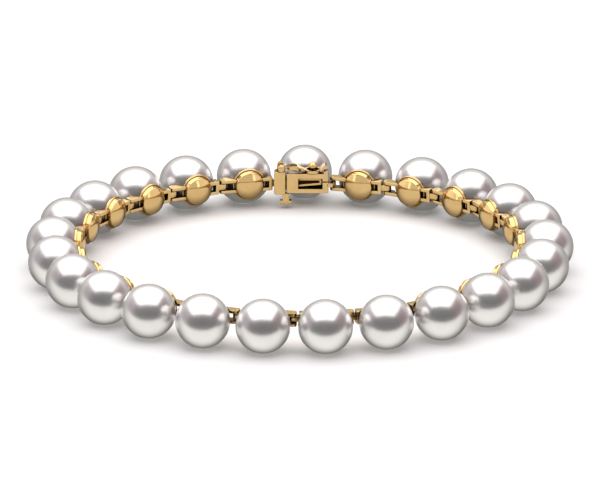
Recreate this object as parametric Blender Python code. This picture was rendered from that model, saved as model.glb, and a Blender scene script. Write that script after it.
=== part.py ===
"""Pearl bracelet: pearls on pegs in hinged gold cups, closed by a box clasp.

The bracelet lies flat on its pearls as a closed ring. Each setting is modelled
in its own frame: the pearl's centre is the origin, +X runs along the ring, +Y
points outwards and +Z up, so the wrist side is -Y.
"""
import math

import bmesh
import bpy

MM = 0.001

# Pearls and the ring that they lie in
PEARL_COUNT = 25
PEARL_DIAMETER = 7.0 * MM
PEARL_SPACING = 0.93 * MM
PEARL_SIDES = 12
PEARL_RING_ANGLES = (35.0, 62.5, 90.0, 120.0, 150.0)
DRILL_RADIUS = 0.52 * MM
DRILL_DEPTH = 2.0 * MM
SETTING_TILT = math.radians(4.5)

# Cup and peg of a setting
CUP_RADIUS = 2.1 * MM
CUP_FACE_RADIUS = 1.9 * MM
CUP_FACE_CURVE = 3.4 * MM
CUP_POLE = -4.17 * MM
CUP_SIDES = 12
CUP_RING_SHARES = (0.55, 1.0)
CUP_LIP_SHARE = 0.94
PEG_RADIUS = 0.42 * MM
PEG_END_GAP = 0.2 * MM
SEAT_GAP = 0.1 * MM

# Hinges between the settings
HINGE_INSET = 0.5 * MM
HINGE_SHIFT = 0.12 * MM
RIVET_RADIUS = 0.17 * MM
RIVET_GAP = 0.08 * MM
RIVET_HEAD = 0.05 * MM
RIVET_SIDES = 6
KNUCKLE_RADIUS = 0.4 * MM
KNUCKLE_STEPS = 2
FORK_HEIGHT = 1.84 * MM
FORK_SLOT = 0.98 * MM
FORK_DEPTH = 1.12 * MM
TONGUE_GAP = 0.11 * MM
TONGUE_REACH = 0.56 * MM
TONGUE_EASE = 0.04 * MM

# Pierced lug that carries the tongue
LUG_HEIGHT = 1.76 * MM
LUG_END_GAP = 0.29 * MM
LUG_BAR = 0.46 * MM
LUG_WINDOW_LENGTH = 1.0 * MM
LUG_WINDOW_HEIGHT = 0.92 * MM
SCALLOP_STEPS = 2

# Clasp, whose pearl stands out from the ring
CLASP_PUSH = 1.0 * MM
BOX_DEPTH = 1.55 * MM
BOX_LEFT = -2.24 * MM
BOX_RIGHT = 3.12 * MM
BOX_WALL = 0.28 * MM
WINDOW_LEFT = -0.76 * MM
WINDOW_RIGHT = 2.38 * MM
WINDOW_SILL = 0.55 * MM
WINDOW_LINTEL = 0.64 * MM
SLIT_BOTTOM = 0.16 * MM
SLIT_HEIGHT = 0.13 * MM
STOP_WIDTH = 0.6 * MM
STOP_RISE = 0.35 * MM
CONNECTOR_HEIGHT = 0.5 * MM
CONNECTOR_REACH = 0.36 * MM

# Ball stud on the box
BALL_PLACE = 1.12 * MM
BALL_RADIUS = 0.56 * MM
BALL_NECK_RADIUS = 0.26 * MM
BALL_RISE = 0.84 * MM
BALL_SIDES = 12
BALL_STEPS = 5

# Tongue: end cap, folded spring and press tab
CAP_SEAM = 0.18 * MM
CAP_WIDTH = 1.48 * MM
CAP_HEIGHT = 3.06 * MM
CAP_OVERHANG = 0.23 * MM
CAP_CORNER = 0.35 * MM
CAP_CORNER_STEPS = 3
CAP_FRONT_WALL = 0.55 * MM
PLUG_REACH = 0.25 * MM
SPRING_GAP = 0.1 * MM
SPRING_THICKNESS = 0.26 * MM
SPRING_RIGHT = 2.25 * MM
SPRING_HEADROOM = 0.44 * MM
SPRING_LOW_AT_CAP = -0.57 * MM
SPRING_LOW_AT_FOLD = -0.12 * MM
TAB_STEM_WIDTH = 0.84 * MM
TAB_STEM_OVERHANG = 0.47 * MM
TAB_FOOT_WIDTH = 1.52 * MM
TAB_FOOT_HEIGHT = 0.5 * MM
TAB_DEPTH = 0.95 * MM
TAB_DROP = 1.35 * MM

# Safety latch and its hinge
LATCH_AXIS_INSET = 0.53 * MM
LATCH_AXIS_RISE = 0.45 * MM
LATCH_BARREL_RADIUS = 0.44 * MM
LATCH_PIN_RADIUS = 0.17 * MM
LATCH_PIN_GAP = 0.07 * MM
LATCH_HEAD_RADIUS = 0.43 * MM
LATCH_HEAD_THICKNESS = 0.12 * MM
LATCH_LUG_RADIUS = 0.5 * MM
LATCH_LUG_SHIFT = 0.1 * MM
LATCH_LUG_RISE = 0.16 * MM
LATCH_LUG_STEPS = 8
LATCH_LUG_DEPTH = 0.45 * MM
LATCH_SIDE_GAP = 0.08 * MM
LATCH_SET_BACK = 0.15 * MM
LATCH_THICKNESS = 0.36 * MM
LATCH_LIFT = 0.08 * MM
LATCH_RING_WIDTH = 0.32 * MM
LATCH_FIRST_RING_HALF_DEPTH = 1.0 * MM
LATCH_FIRST_RING_WIDTH = 0.5 * MM
LATCH_BALL_RING_HALF_DEPTH = 1.08 * MM
LATCH_BALL_RING_HALF_LENGTH = 1.13 * MM
LATCH_FIRST_RING_HALF_LENGTH = 0.95 * MM
LATCH_NECK_LENGTH = 0.39 * MM
LATCH_NECK_DEPTH = 0.9 * MM
LATCH_RING_SIDES = 12
LATCH_SQUARENESS = 0.8
THUMB_LENGTH = 1.1 * MM
THUMB_DEPTH = 1.4 * MM
THUMB_ANGLE = math.radians(48.0)

# Places that follow from the sizes above
PEARL_RADIUS = PEARL_DIAMETER / 2
STEP_ANGLE = 2 * math.pi / PEARL_COUNT
RING_RADIUS = (PEARL_DIAMETER + PEARL_SPACING) / (2 * math.sin(STEP_ANGLE / 2))
RING_CENTRE_Y = -(CLASP_PUSH + RING_RADIUS * (1 - math.cos(STEP_ANGLE / 2))) / 2
HINGE_RING = (RING_RADIUS - PEARL_RADIUS + HINGE_INSET) / math.cos(STEP_ANGLE / 2)
TONGUE_ANGLE = STEP_ANGLE / 2 + HINGE_SHIFT / HINGE_RING
FORK_ANGLE = STEP_ANGLE - TONGUE_ANGLE
TONGUE_HINGE = (HINGE_RING * math.sin(TONGUE_ANGLE),
                HINGE_RING * math.cos(TONGUE_ANGLE) - RING_RADIUS)
FORK_HINGE = (-HINGE_RING * math.sin(FORK_ANGLE),
              HINGE_RING * math.cos(FORK_ANGLE) - RING_RADIUS)
HINGE_LEVEL = (HINGE_INSET - PEARL_RADIUS) * math.tan(SETTING_TILT)
LINK_FACE = TONGUE_HINGE[1] / math.cos(SETTING_TILT) - KNUCKLE_RADIUS
SCALLOP_RADIUS = PEARL_RADIUS + SEAT_GAP
TONGUE_RADIUS = KNUCKLE_RADIUS - TONGUE_EASE
TONGUE_HEIGHT = FORK_SLOT - 2 * TONGUE_GAP
RIVET_HOLE_RADIUS = RIVET_RADIUS + RIVET_GAP
LUG_END = TONGUE_HINGE[0] - KNUCKLE_RADIUS - LUG_END_GAP
PEG_END = -PEARL_RADIUS + DRILL_DEPTH - PEG_END_GAP
ROOT_SHARE = 0.65
OVERLAP = 0.15 * MM
BEYOND = 1.0 * MM

BOX_BACK = CLASP_PUSH - PEARL_RADIUS - SEAT_GAP
BOX_FACE = BOX_BACK - BOX_DEPTH
CAP_TOP = CAP_HEIGHT / 2
BOX_TOP = CAP_TOP - CAP_OVERHANG
SPRING_TOP = BOX_TOP - BOX_WALL - SPRING_HEADROOM
CAP_RIGHT = BOX_LEFT - CAP_SEAM
CAP_LEFT = CAP_RIGHT - CAP_WIDTH
LATCH_AXIS_X = CAP_RIGHT - LATCH_AXIS_INSET
LATCH_AXIS_Z = CAP_TOP + LATCH_AXIS_RISE
LATCH_MIDDLE = (BOX_FACE + BOX_BACK) / 2 + LATCH_SET_BACK
BALL_LEVEL = BOX_TOP + BALL_RISE


def clear_scene():
    """Remove what the opened file holds."""
    for item in list(bpy.data.objects):
        bpy.data.objects.remove(item, do_unlink=True)


def make_material(name, colour, roughness, metallic):
    """One plain Principled finish."""
    material = bpy.data.materials.new(name)
    material.use_nodes = True
    shader = material.node_tree.nodes["Principled BSDF"]
    shader.inputs["Base Color"].default_value = (*colour, 1.0)
    shader.inputs["Roughness"].default_value = roughness
    shader.inputs["Metallic"].default_value = metallic
    return material


def object_from_faces(name, points, faces):
    """A closed mesh object whose faces all point out."""
    mesh = bpy.data.meshes.new(name)
    mesh.from_pydata(points, [], faces)
    shape = bmesh.new()
    shape.from_mesh(mesh)
    bmesh.ops.recalc_face_normals(shape, faces=shape.faces)
    shape.to_mesh(mesh)
    shape.free()
    item = bpy.data.objects.new(name, mesh)
    bpy.context.scene.collection.objects.link(item)
    return item


def lathe(name, profile, sides, axis="Y", centre=(0.0, 0.0, 0.0)):
    """Turn (radius, place along the axis) pairs, the first and last on the axis."""
    points = []
    rings = []
    for radius, along in profile:
        ring = []
        for step in range(sides if radius > 0 else 1):
            angle = 2 * math.pi * step / sides
            across = radius * math.sin(angle)
            up = radius * math.cos(angle)
            place = (across, along, up) if axis == "Y" else (across, up, along)
            ring.append(len(points))
            points.append([place[i] + centre[i] for i in range(3)])
        rings.append(ring)
    faces = []
    for low, high in zip(rings, rings[1:]):
        for step in range(sides):
            corners = [low[step % len(low)], low[(step + 1) % len(low)],
                       high[(step + 1) % len(high)], high[step % len(high)]]
            faces.append(list(dict.fromkeys(corners)))
    return object_from_faces(name, points, faces)


def cylinder(name, radius, start, end, sides, axis, centre):
    """A round bar along an axis through the centre."""
    profile = [(0, start), (radius, start), (radius, end), (0, end)]
    return lathe(name, profile, sides, axis, centre)


def prism(name, outline, start, end, axis="Z"):
    """Extrude an outline: (x, y) pairs along Z, or (x, z) pairs along Y."""
    count = len(outline)
    points = []
    for along in (start, end):
        for first, second in outline:
            points.append((first, along, second) if axis == "Y" else (first, second, along))
    faces = [list(range(count)), list(range(2 * count - 1, count - 1, -1))]
    for step in range(count):
        after = (step + 1) % count
        faces.append([step, after, after + count, step + count])
    return object_from_faces(name, points, faces)


def block(name, x_range, y_range, z_range):
    """A plain box between the given ends."""
    outline = [(x_range[0], y_range[0]), (x_range[1], y_range[0]),
               (x_range[1], y_range[1]), (x_range[0], y_range[1])]
    return prism(name, outline, z_range[0], z_range[1])


def arc(centre, radius, start, end, steps):
    """Points on an arc, angles in degrees from +X."""
    points = []
    for step in range(steps + 1):
        angle = math.radians(start + (end - start) * step / steps)
        points.append((centre[0] + radius * math.cos(angle),
                       centre[1] + radius * math.sin(angle)))
    return points


def combine(item, others, operation):
    """Join other solids to one, or cut them from it, and drop them."""
    for other in others:
        step = item.modifiers.new(operation, "BOOLEAN")
        step.operation = operation
        step.solver = "EXACT"
        step.object = other
    graph = bpy.context.evaluated_depsgraph_get()
    mesh = bpy.data.meshes.new_from_object(item.evaluated_get(graph))
    item.modifiers.clear()
    item.data = mesh
    for other in others:
        bpy.data.objects.remove(other, do_unlink=True)
    return item


def finish(item, name, material, parent):
    """Name, colour and place a piece under its setting's empty."""
    item.name = name
    item.data.name = name
    item.data.materials.clear()
    item.data.materials.append(material)
    item.data.shade_smooth()
    item.data.set_sharp_from_angle(angle=math.radians(40))
    item.parent = parent
    return item


def copy_of(item, name, parent):
    """Another object that shares the mesh."""
    twin = bpy.data.objects.new(name, item.data)
    bpy.context.scene.collection.objects.link(twin)
    twin.parent = parent
    return twin


def setting_frame(name, index):
    """An empty at a pearl's centre; 0 is the clasp, and the rest tilt least at the sides."""
    angle = STEP_ANGLE * index
    frame = bpy.data.objects.new(name, None)
    bpy.context.scene.collection.objects.link(frame)
    frame.location = (-RING_RADIUS * math.sin(angle),
                      RING_CENTRE_Y + RING_RADIUS * math.cos(angle),
                      PEARL_RADIUS)
    tilt = SETTING_TILT * math.cos(angle) if index else 0.0
    frame.rotation_euler = (tilt, 0.0, angle)
    return frame


def make_pearl():
    """A sphere turned about its drill hole, which opens on the wrist side."""
    rim = math.degrees(math.asin(DRILL_RADIUS / PEARL_RADIUS))
    profile = [(0, -PEARL_RADIUS + DRILL_DEPTH),
               (DRILL_RADIUS, -PEARL_RADIUS + DRILL_DEPTH)]
    for angle in (rim, *PEARL_RING_ANGLES):
        turn = math.radians(angle)
        profile.append((PEARL_RADIUS * math.sin(turn), -PEARL_RADIUS * math.cos(turn)))
    profile.append((0, PEARL_RADIUS))
    return lathe("pearl", profile, PEARL_SIDES)


def make_cup():
    """A thick cup with a gently domed face that hugs the pearl, with its peg."""
    face_centre = CUP_POLE + CUP_FACE_CURVE
    edge_angle = math.asin(CUP_FACE_RADIUS / CUP_FACE_CURVE)
    profile = [(0, CUP_POLE)]
    for share in CUP_RING_SHARES:
        turn = edge_angle * share
        profile.append((CUP_FACE_CURVE * math.sin(turn),
                        face_centre - CUP_FACE_CURVE * math.cos(turn)))
    rim_angle = math.asin(CUP_RADIUS / SCALLOP_RADIUS)
    peg_angle = math.asin(PEG_RADIUS / SCALLOP_RADIUS)
    for turn in (rim_angle, rim_angle * CUP_LIP_SHARE, peg_angle):
        profile.append((SCALLOP_RADIUS * math.sin(turn), -SCALLOP_RADIUS * math.cos(turn)))
    profile.append((PEG_RADIUS, PEG_END))
    profile.append((0, PEG_END))
    return lathe("cup", profile, CUP_SIDES)


def scallop(start_x, end_x):
    """Plan points where a plate passes round the pearl, from one x to another."""
    start = math.degrees(math.asin(start_x / SCALLOP_RADIUS))
    end = math.degrees(math.asin(end_x / SCALLOP_RADIUS))
    return arc((0, 0), SCALLOP_RADIUS, start - 90, end - 90, SCALLOP_STEPS)


def make_fork():
    """Two plates with a rivet, on the -X side of the cup."""
    root = -CUP_FACE_RADIUS * ROOT_SHARE
    back = LINK_FACE + FORK_DEPTH
    meet = -math.sqrt(SCALLOP_RADIUS ** 2 - back ** 2)
    hinge_x, hinge_y = FORK_HINGE[0], FORK_HINGE[1] / math.cos(SETTING_TILT)
    outline = [(root, LINK_FACE)]
    outline += arc((hinge_x, LINK_FACE + KNUCKLE_RADIUS), KNUCKLE_RADIUS, -90, -180,
                   KNUCKLE_STEPS)
    outline += arc((hinge_x, back - KNUCKLE_RADIUS), KNUCKLE_RADIUS, 180, 90, KNUCKLE_STEPS)
    outline += scallop(meet, root)
    fork = prism("fork", outline, -FORK_HEIGHT / 2, FORK_HEIGHT / 2)
    slot = block("slot", (hinge_x - BEYOND, -CUP_FACE_RADIUS), (LINK_FACE - BEYOND, 0),
                 (-FORK_SLOT / 2, FORK_SLOT / 2))
    combine(fork, [slot], "DIFFERENCE")
    half = FORK_HEIGHT / 2 + RIVET_HEAD
    rivet = cylinder("rivet", RIVET_RADIUS, -half, half, RIVET_SIDES, "Z",
                     (hinge_x, hinge_y, 0))
    return combine(fork, [rivet], "UNION")


def make_tongue_bar(start, height, level, hinge_y, reach):
    """A bar with a rivet hole, from its front corners to a round end past the +X hinge."""
    hinge_x = TONGUE_HINGE[0]
    outline = list(start)
    outline += arc((hinge_x + reach - TONGUE_RADIUS, hinge_y), TONGUE_RADIUS, -90, 90,
                   2 * KNUCKLE_STEPS)
    outline.append((start[0][0], hinge_y + TONGUE_RADIUS))
    bar = prism("tongue_bar", outline, level - height / 2, level + height / 2)
    hole = cylinder("rivet_hole", RIVET_HOLE_RADIUS, level - height, level + height,
                    RIVET_SIDES, "Z", (hinge_x, hinge_y, 0))
    return combine(bar, [hole], "DIFFERENCE")


def make_lug():
    """The pierced lug on the +X side, with the tongue for the next fork."""
    root = CUP_FACE_RADIUS * ROOT_SHARE
    back = LINK_FACE + FORK_DEPTH
    meet = math.sqrt(SCALLOP_RADIUS ** 2 - back ** 2)
    outline = [(root, LINK_FACE), (LUG_END, LINK_FACE), (LUG_END, back)]
    outline += scallop(meet, root)
    lug = prism("lug", outline, -LUG_HEIGHT / 2, LUG_HEIGHT / 2)
    window_end = LUG_END - LUG_BAR
    window = block("window", (window_end - LUG_WINDOW_LENGTH, window_end),
                   (LINK_FACE - BEYOND, 0),
                   (-LUG_WINDOW_HEIGHT / 2, LUG_WINDOW_HEIGHT / 2))
    combine(lug, [window], "DIFFERENCE")
    hinge_y = TONGUE_HINGE[1] / math.cos(SETTING_TILT)
    corner = (LUG_END - OVERLAP, hinge_y - TONGUE_RADIUS)
    tongue = make_tongue_bar([corner], TONGUE_HEIGHT, 0.0, hinge_y, TONGUE_REACH)
    return combine(lug, [tongue], "UNION")


def make_link():
    """Cup, peg, fork and lug soldered into one setting."""
    return combine(make_cup(), [make_fork(), make_lug()], "UNION")


def make_peg():
    """The clasp's own pearl peg, rooted in the box's back wall."""
    return cylinder("peg", PEG_RADIUS, BOX_BACK - OVERLAP, CLASP_PUSH + PEG_END,
                    CUP_SIDES, "Y", (0, 0, 0))


def make_ball_stud():
    """A ball on a short neck, for the latch to close over."""
    neck_turn = math.asin(BALL_NECK_RADIUS / BALL_RADIUS)
    profile = [(0, BOX_TOP - OVERLAP), (BALL_NECK_RADIUS, BOX_TOP - OVERLAP)]
    for step in range(BALL_STEPS):
        turn = neck_turn + (math.pi - neck_turn) * step / BALL_STEPS
        profile.append((BALL_RADIUS * math.sin(turn), BALL_LEVEL - BALL_RADIUS * math.cos(turn)))
    profile.append((0, BALL_LEVEL + BALL_RADIUS))
    return lathe("ball_stud", profile, BALL_SIDES, "Z", (BALL_PLACE, LATCH_MIDDLE, 0))


def make_clasp_box():
    """The open-ended box with its window, stop, stud, connector and peg."""
    box = block("box", (BOX_LEFT, BOX_RIGHT), (BOX_FACE, BOX_BACK), (-BOX_TOP, BOX_TOP))
    cavity = block("cavity", (BOX_LEFT - BEYOND, BOX_RIGHT - BOX_WALL),
                   (BOX_FACE + BOX_WALL, BOX_BACK - BOX_WALL),
                   (-BOX_TOP + BOX_WALL, BOX_TOP - BOX_WALL))
    window = block("window", (WINDOW_LEFT, WINDOW_RIGHT),
                   (BOX_FACE - BEYOND, BOX_FACE + BOX_WALL + OVERLAP),
                   (WINDOW_SILL - BOX_TOP, BOX_TOP - WINDOW_LINTEL))
    slit = block("slit", (WINDOW_RIGHT - OVERLAP, BOX_RIGHT + BEYOND),
                 (BOX_FACE - BEYOND, BOX_FACE + BOX_WALL),
                 (SLIT_BOTTOM, SLIT_BOTTOM + SLIT_HEIGHT))
    combine(box, [cavity, window, slit], "DIFFERENCE")
    stop = block("stop", (BOX_RIGHT - STOP_WIDTH, BOX_RIGHT),
                 (BOX_FACE, BOX_BACK - BOX_WALL),
                 (BOX_TOP - OVERLAP, BOX_TOP + STOP_RISE))
    corners = [(BOX_RIGHT - OVERLAP, BOX_FACE), (TONGUE_HINGE[0], BOX_FACE)]
    connector = make_tongue_bar(corners, CONNECTOR_HEIGHT, HINGE_LEVEL,
                                TONGUE_HINGE[1], CONNECTOR_REACH)
    return combine(box, [stop, connector, make_ball_stud(), make_peg()], "UNION")


def make_end_cap():
    """The cap beside the box, hollowed at its left end for the next setting's tongue."""
    corner_x = CAP_LEFT + CAP_CORNER
    corner_z = CAP_TOP - CAP_CORNER
    outline = [(CAP_RIGHT, -CAP_TOP), (CAP_RIGHT, CAP_TOP)]
    outline += arc((corner_x, corner_z), CAP_CORNER, 90, 180, CAP_CORNER_STEPS)
    outline += arc((corner_x, -corner_z), CAP_CORNER, 180, 270, CAP_CORNER_STEPS)
    cap = prism("end_cap", outline, BOX_FACE, BOX_BACK, "Y")
    slot_half = FORK_SLOT / 2
    slot_end = FORK_HINGE[0] + TONGUE_REACH + RIVET_GAP
    slot = block("slot", (CAP_LEFT - BEYOND, slot_end),
                 (BOX_FACE + CAP_FRONT_WALL, BOX_BACK + BEYOND),
                 (HINGE_LEVEL - slot_half, HINGE_LEVEL + slot_half))
    combine(cap, [slot], "DIFFERENCE")
    rivet = cylinder("rivet", RIVET_RADIUS, HINGE_LEVEL - FORK_SLOT, HINGE_LEVEL + FORK_SLOT,
                     RIVET_SIDES, "Z", (*FORK_HINGE, 0))
    return combine(cap, [rivet], "UNION")


def make_plug():
    """The tongue's base, which closes the box's mouth behind the seam."""
    half = BOX_TOP - BOX_WALL - SPRING_GAP
    return block("plug", (CAP_RIGHT - OVERLAP, BOX_LEFT + PLUG_REACH),
                 (BOX_FACE + BOX_WALL + SPRING_GAP, BOX_BACK - BOX_WALL - SPRING_GAP),
                 (-half, half))


def make_spring():
    """The folded spring: a level upper leaf, a rising lower leaf and the fold."""
    y_range = (BOX_FACE + BOX_WALL + SPRING_GAP, BOX_BACK - BOX_WALL - SPRING_GAP)
    left = CAP_RIGHT - OVERLAP
    low_start = SPRING_LOW_AT_CAP + SPRING_THICKNESS / 2
    low_end = SPRING_LOW_AT_FOLD + SPRING_THICKNESS / 2
    fold = SPRING_RIGHT - SPRING_THICKNESS
    outline = [(left, low_start - SPRING_THICKNESS),
               (SPRING_RIGHT, low_end - SPRING_THICKNESS),
               (SPRING_RIGHT, SPRING_TOP),
               (left, SPRING_TOP),
               (left, SPRING_TOP - SPRING_THICKNESS),
               (fold, SPRING_TOP - SPRING_THICKNESS),
               (fold, low_end),
               (left, low_start)]
    return prism("spring", outline, y_range[0], y_range[1], "Y")


def make_press_tab():
    """The T-shaped tab that hangs below the seam."""
    stem_right = BOX_LEFT + TAB_STEM_OVERHANG - CAP_SEAM
    stem_left = stem_right - TAB_STEM_WIDTH
    middle = (stem_left + stem_right) / 2
    top = -BOX_TOP - SEAT_GAP
    foot_top = -CAP_TOP - TAB_DROP + TAB_FOOT_HEIGHT
    half = TAB_FOOT_WIDTH / 2
    outline = [(stem_left, top), (stem_left, foot_top),
               (middle - half, foot_top), (middle - half, -CAP_TOP - TAB_DROP),
               (middle + half, -CAP_TOP - TAB_DROP), (middle + half, foot_top),
               (stem_right, foot_top), (stem_right, top)]
    return prism("press_tab", outline, BOX_FACE + SEAT_GAP, BOX_FACE + SEAT_GAP + TAB_DEPTH, "Y")


def make_latch_pin():
    """The lug behind the latch's barrel, with the pin and its head."""
    axis = (LATCH_AXIS_X, LATCH_AXIS_Z)
    lug_x = axis[0] - LATCH_LUG_SHIFT
    outline = [(lug_x - LATCH_LUG_RADIUS, CAP_TOP - OVERLAP),
               (lug_x + LATCH_LUG_RADIUS, CAP_TOP - OVERLAP)]
    outline += arc((lug_x, axis[1] + LATCH_LUG_RISE), LATCH_LUG_RADIUS, 0, 180, LATCH_LUG_STEPS)
    lug = prism("latch_lug", outline, BOX_BACK - LATCH_LUG_DEPTH, BOX_BACK, "Y")
    head_back = BOX_FACE - LATCH_SIDE_GAP
    head_front = head_back - LATCH_HEAD_THICKNESS
    profile = [(0, head_front), (LATCH_HEAD_RADIUS, head_front),
               (LATCH_HEAD_RADIUS, head_back), (LATCH_PIN_RADIUS, head_back),
               (LATCH_PIN_RADIUS, BOX_BACK - OVERLAP), (0, BOX_BACK - OVERLAP)]
    pin = lathe("latch_pin", profile, BALL_SIDES, "Y", (axis[0], 0, axis[1]))
    return combine(lug, [pin], "UNION")


def make_clasp_tongue():
    """End cap, plug, spring, press tab and latch hinge as one solid."""
    parts = [make_plug(), make_spring(), make_press_tab(), make_latch_pin()]
    return combine(make_end_cap(), parts, "UNION")


def squared(value, power):
    """A sine or cosine pushed out, so that an oval gets fuller corners."""
    return math.copysign(abs(value) ** power, value)


def oval_ring(name, centre_x, halves, width, power, level):
    """A flat oval ring of the latch, level with the given height."""
    points = []
    for length, depth in (halves, (halves[0] - width, halves[1] - width)):
        for height in (level - LATCH_THICKNESS / 2, level + LATCH_THICKNESS / 2):
            for step in range(LATCH_RING_SIDES):
                angle = 2 * math.pi * step / LATCH_RING_SIDES
                points.append((centre_x + length * squared(math.cos(angle), power),
                               LATCH_MIDDLE + depth * squared(math.sin(angle), power), height))
    faces = []
    walls = ((0, 1), (1, 3), (3, 2), (2, 0))
    for first, second in walls:
        for step in range(LATCH_RING_SIDES):
            after = (step + 1) % LATCH_RING_SIDES
            faces.append([first * LATCH_RING_SIDES + step, first * LATCH_RING_SIDES + after,
                          second * LATCH_RING_SIDES + after, second * LATCH_RING_SIDES + step])
    return object_from_faces(name, points, faces)


def slanted_plate(name, start, end, depth):
    """A flat plate of the latch between two (x, z) points."""
    length = math.dist(start, end)
    across = ((start[1] - end[1]) / length * LATCH_THICKNESS / 2,
              (end[0] - start[0]) / length * LATCH_THICKNESS / 2)
    outline = [(start[0] - across[0], start[1] - across[1]),
               (end[0] - across[0], end[1] - across[1]),
               (end[0] + across[0], end[1] + across[1]),
               (start[0] + across[0], start[1] + across[1])]
    return prism(name, outline, LATCH_MIDDLE - depth / 2, LATCH_MIDDLE + depth / 2, "Y")


def make_latch():
    """Barrel, arm, two rings, the neck between them and the thumb tab."""
    axis = (LATCH_AXIS_X, 0, LATCH_AXIS_Z)
    barrel_back = BOX_BACK - LATCH_LUG_DEPTH - LATCH_SIDE_GAP
    barrel = cylinder("barrel", LATCH_BARREL_RADIUS, BOX_FACE, barrel_back,
                      BALL_SIDES, "Y", axis)
    low = BOX_TOP + LATCH_LIFT + LATCH_THICKNESS / 2
    high = LATCH_AXIS_Z
    ball_ring_left = BALL_PLACE - LATCH_BALL_RING_HALF_LENGTH
    first_right = ball_ring_left - LATCH_NECK_LENGTH
    first_centre = first_right - LATCH_FIRST_RING_HALF_LENGTH
    inset = LATCH_RING_WIDTH / 2
    arm = block("arm", (LATCH_AXIS_X + LATCH_BARREL_RADIUS / 2,
                        first_centre - LATCH_FIRST_RING_HALF_LENGTH + 2 * inset),
                (BOX_FACE + 2 * OVERLAP, barrel_back),
                (high - LATCH_THICKNESS / 2, high + LATCH_THICKNESS / 2))
    halves = (LATCH_FIRST_RING_HALF_LENGTH, LATCH_FIRST_RING_HALF_DEPTH)
    first = oval_ring("first_ring", first_centre, halves, LATCH_FIRST_RING_WIDTH,
                      LATCH_SQUARENESS, high)
    halves = (LATCH_BALL_RING_HALF_LENGTH, LATCH_BALL_RING_HALF_DEPTH)
    second = oval_ring("ball_ring", BALL_PLACE, halves, LATCH_RING_WIDTH, 1.0, low)
    neck = slanted_plate("neck", (first_right - inset, high), (ball_ring_left + inset, low),
                         LATCH_NECK_DEPTH)
    thumb_start = (BALL_PLACE + LATCH_BALL_RING_HALF_LENGTH - inset, low)
    thumb_end = (thumb_start[0] + THUMB_LENGTH * math.cos(THUMB_ANGLE),
                 thumb_start[1] + THUMB_LENGTH * math.sin(THUMB_ANGLE))
    thumb = slanted_plate("thumb", thumb_start, thumb_end, THUMB_DEPTH)
    combine(barrel, [arm, first, second, neck, thumb], "UNION")
    bore = cylinder("bore", LATCH_PIN_RADIUS + LATCH_PIN_GAP, BOX_FACE - BEYOND, BEYOND,
                    BALL_SIDES, "Y", axis)
    return combine(barrel, [bore], "DIFFERENCE")


def make_hinge_frame(clasp):
    """An empty on the latch's hinge axis."""
    frame = bpy.data.objects.new("latch_hinge", None)
    bpy.context.scene.collection.objects.link(frame)
    frame.parent = clasp
    frame.location = (LATCH_AXIS_X, BOX_FACE, LATCH_AXIS_Z)
    return frame


def main():
    clear_scene()
    nacre = make_material("nacre", (0.86, 0.83, 0.82), 0.18, 0.0)
    gold = make_material("gold", (0.87, 0.65, 0.33), 0.15, 1.0)

    clasp = setting_frame("clasp_frame", 0)
    pearl = finish(make_pearl(), "pearl_01", nacre, clasp)
    pearl.location = (0, CLASP_PUSH, 0)
    finish(make_clasp_box(), "clasp_box", gold, clasp)
    finish(make_clasp_tongue(), "clasp_tongue", gold, clasp)
    hinge = make_hinge_frame(clasp)
    latch = finish(make_latch(), "safety_latch", gold, hinge)
    latch.location = -hinge.location

    link = None
    for index in range(1, PEARL_COUNT):
        frame = setting_frame(f"setting_{index:02d}", index)
        copy_of(pearl, f"pearl_{index + 1:02d}", frame)
        if link is None:
            link = finish(make_link(), "link_01", gold, frame)
        else:
            copy_of(link, f"link_{index:02d}", frame)


main()
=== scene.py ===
"""Looks for the pearl bracelet: smooth pearls, polished gold, a white table and soft light.

Each setting is modelled in its own frame, as in the part's source: the pearl's
centre is the origin, +X runs along the ring, +Y points outwards and +Z up, so
the wrist side is -Y. The sizes repeat the ones that the solids were made with.
What differs is small: curves are finer, the cup's lip is 0.05 mm wider and its
seat 0.05 mm closer to the pearl, the latch arches a little, and its lug is
0.04 mm smaller in radius, so that the open latch clears it.
"""

import math

import bmesh
import bpy
from mathutils import Matrix, Vector


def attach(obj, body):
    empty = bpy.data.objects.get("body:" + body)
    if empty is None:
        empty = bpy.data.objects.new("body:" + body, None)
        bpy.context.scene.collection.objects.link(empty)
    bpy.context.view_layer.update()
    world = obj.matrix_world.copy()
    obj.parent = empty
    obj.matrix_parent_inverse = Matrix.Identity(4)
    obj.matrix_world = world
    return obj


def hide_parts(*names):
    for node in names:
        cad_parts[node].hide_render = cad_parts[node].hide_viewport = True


MM = 0.001

# Camera
CAMERA_AZIMUTH = math.radians(1.2216)
CAMERA_ELEVATION = math.radians(18.015)
CAMERA_DISTANCE = 2.7745
CAMERA_LENS = 1300.0
CAMERA_SENSOR = 36.0
CAMERA_CLIP = (0.1, 20.0)
CAMERA_RIGHT = 0.048 * MM
CAMERA_UP = 1.04 * MM

# Pearls and the ring that they lie in
PEARL_COUNT = 25
PEARL_RADIUS = 3.5 * MM
PEARL_SPACING = 0.93 * MM
PEARL_SIDES = 64
DRILL_RADIUS = 0.52 * MM
DRILL_DEPTH = 2.0 * MM
SETTING_TILT = math.radians(4.5)

# Cup and peg of a setting; the lip's angles are in degrees
SEAT_RADIUS = 3.55 * MM
DOME_RADIUS = 1.9 * MM
DOME_POLE = -4.17 * MM
DOME_CURVE = 3.4 * MM
DOME_SHOULDER = 0.16 * MM
DOME_STEPS = 12
SHOULDER_STEPS = 6
GROOVE_DEPTH = -3.3 * MM
GROOVE_INSET = 0.02 * MM
LIP_RADIUS = 2.15 * MM
LIP_LEVEL = -3.05 * MM
LIP_WIRE = 0.1 * MM
LIP_ANGLES = (-150, 20)
LIP_STEPS = 8
LIP_SEAT_SHARE = 0.99
CUP_SIDES = 64
PEG_RADIUS = 0.42 * MM
PEG_END = -1.7 * MM

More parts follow.
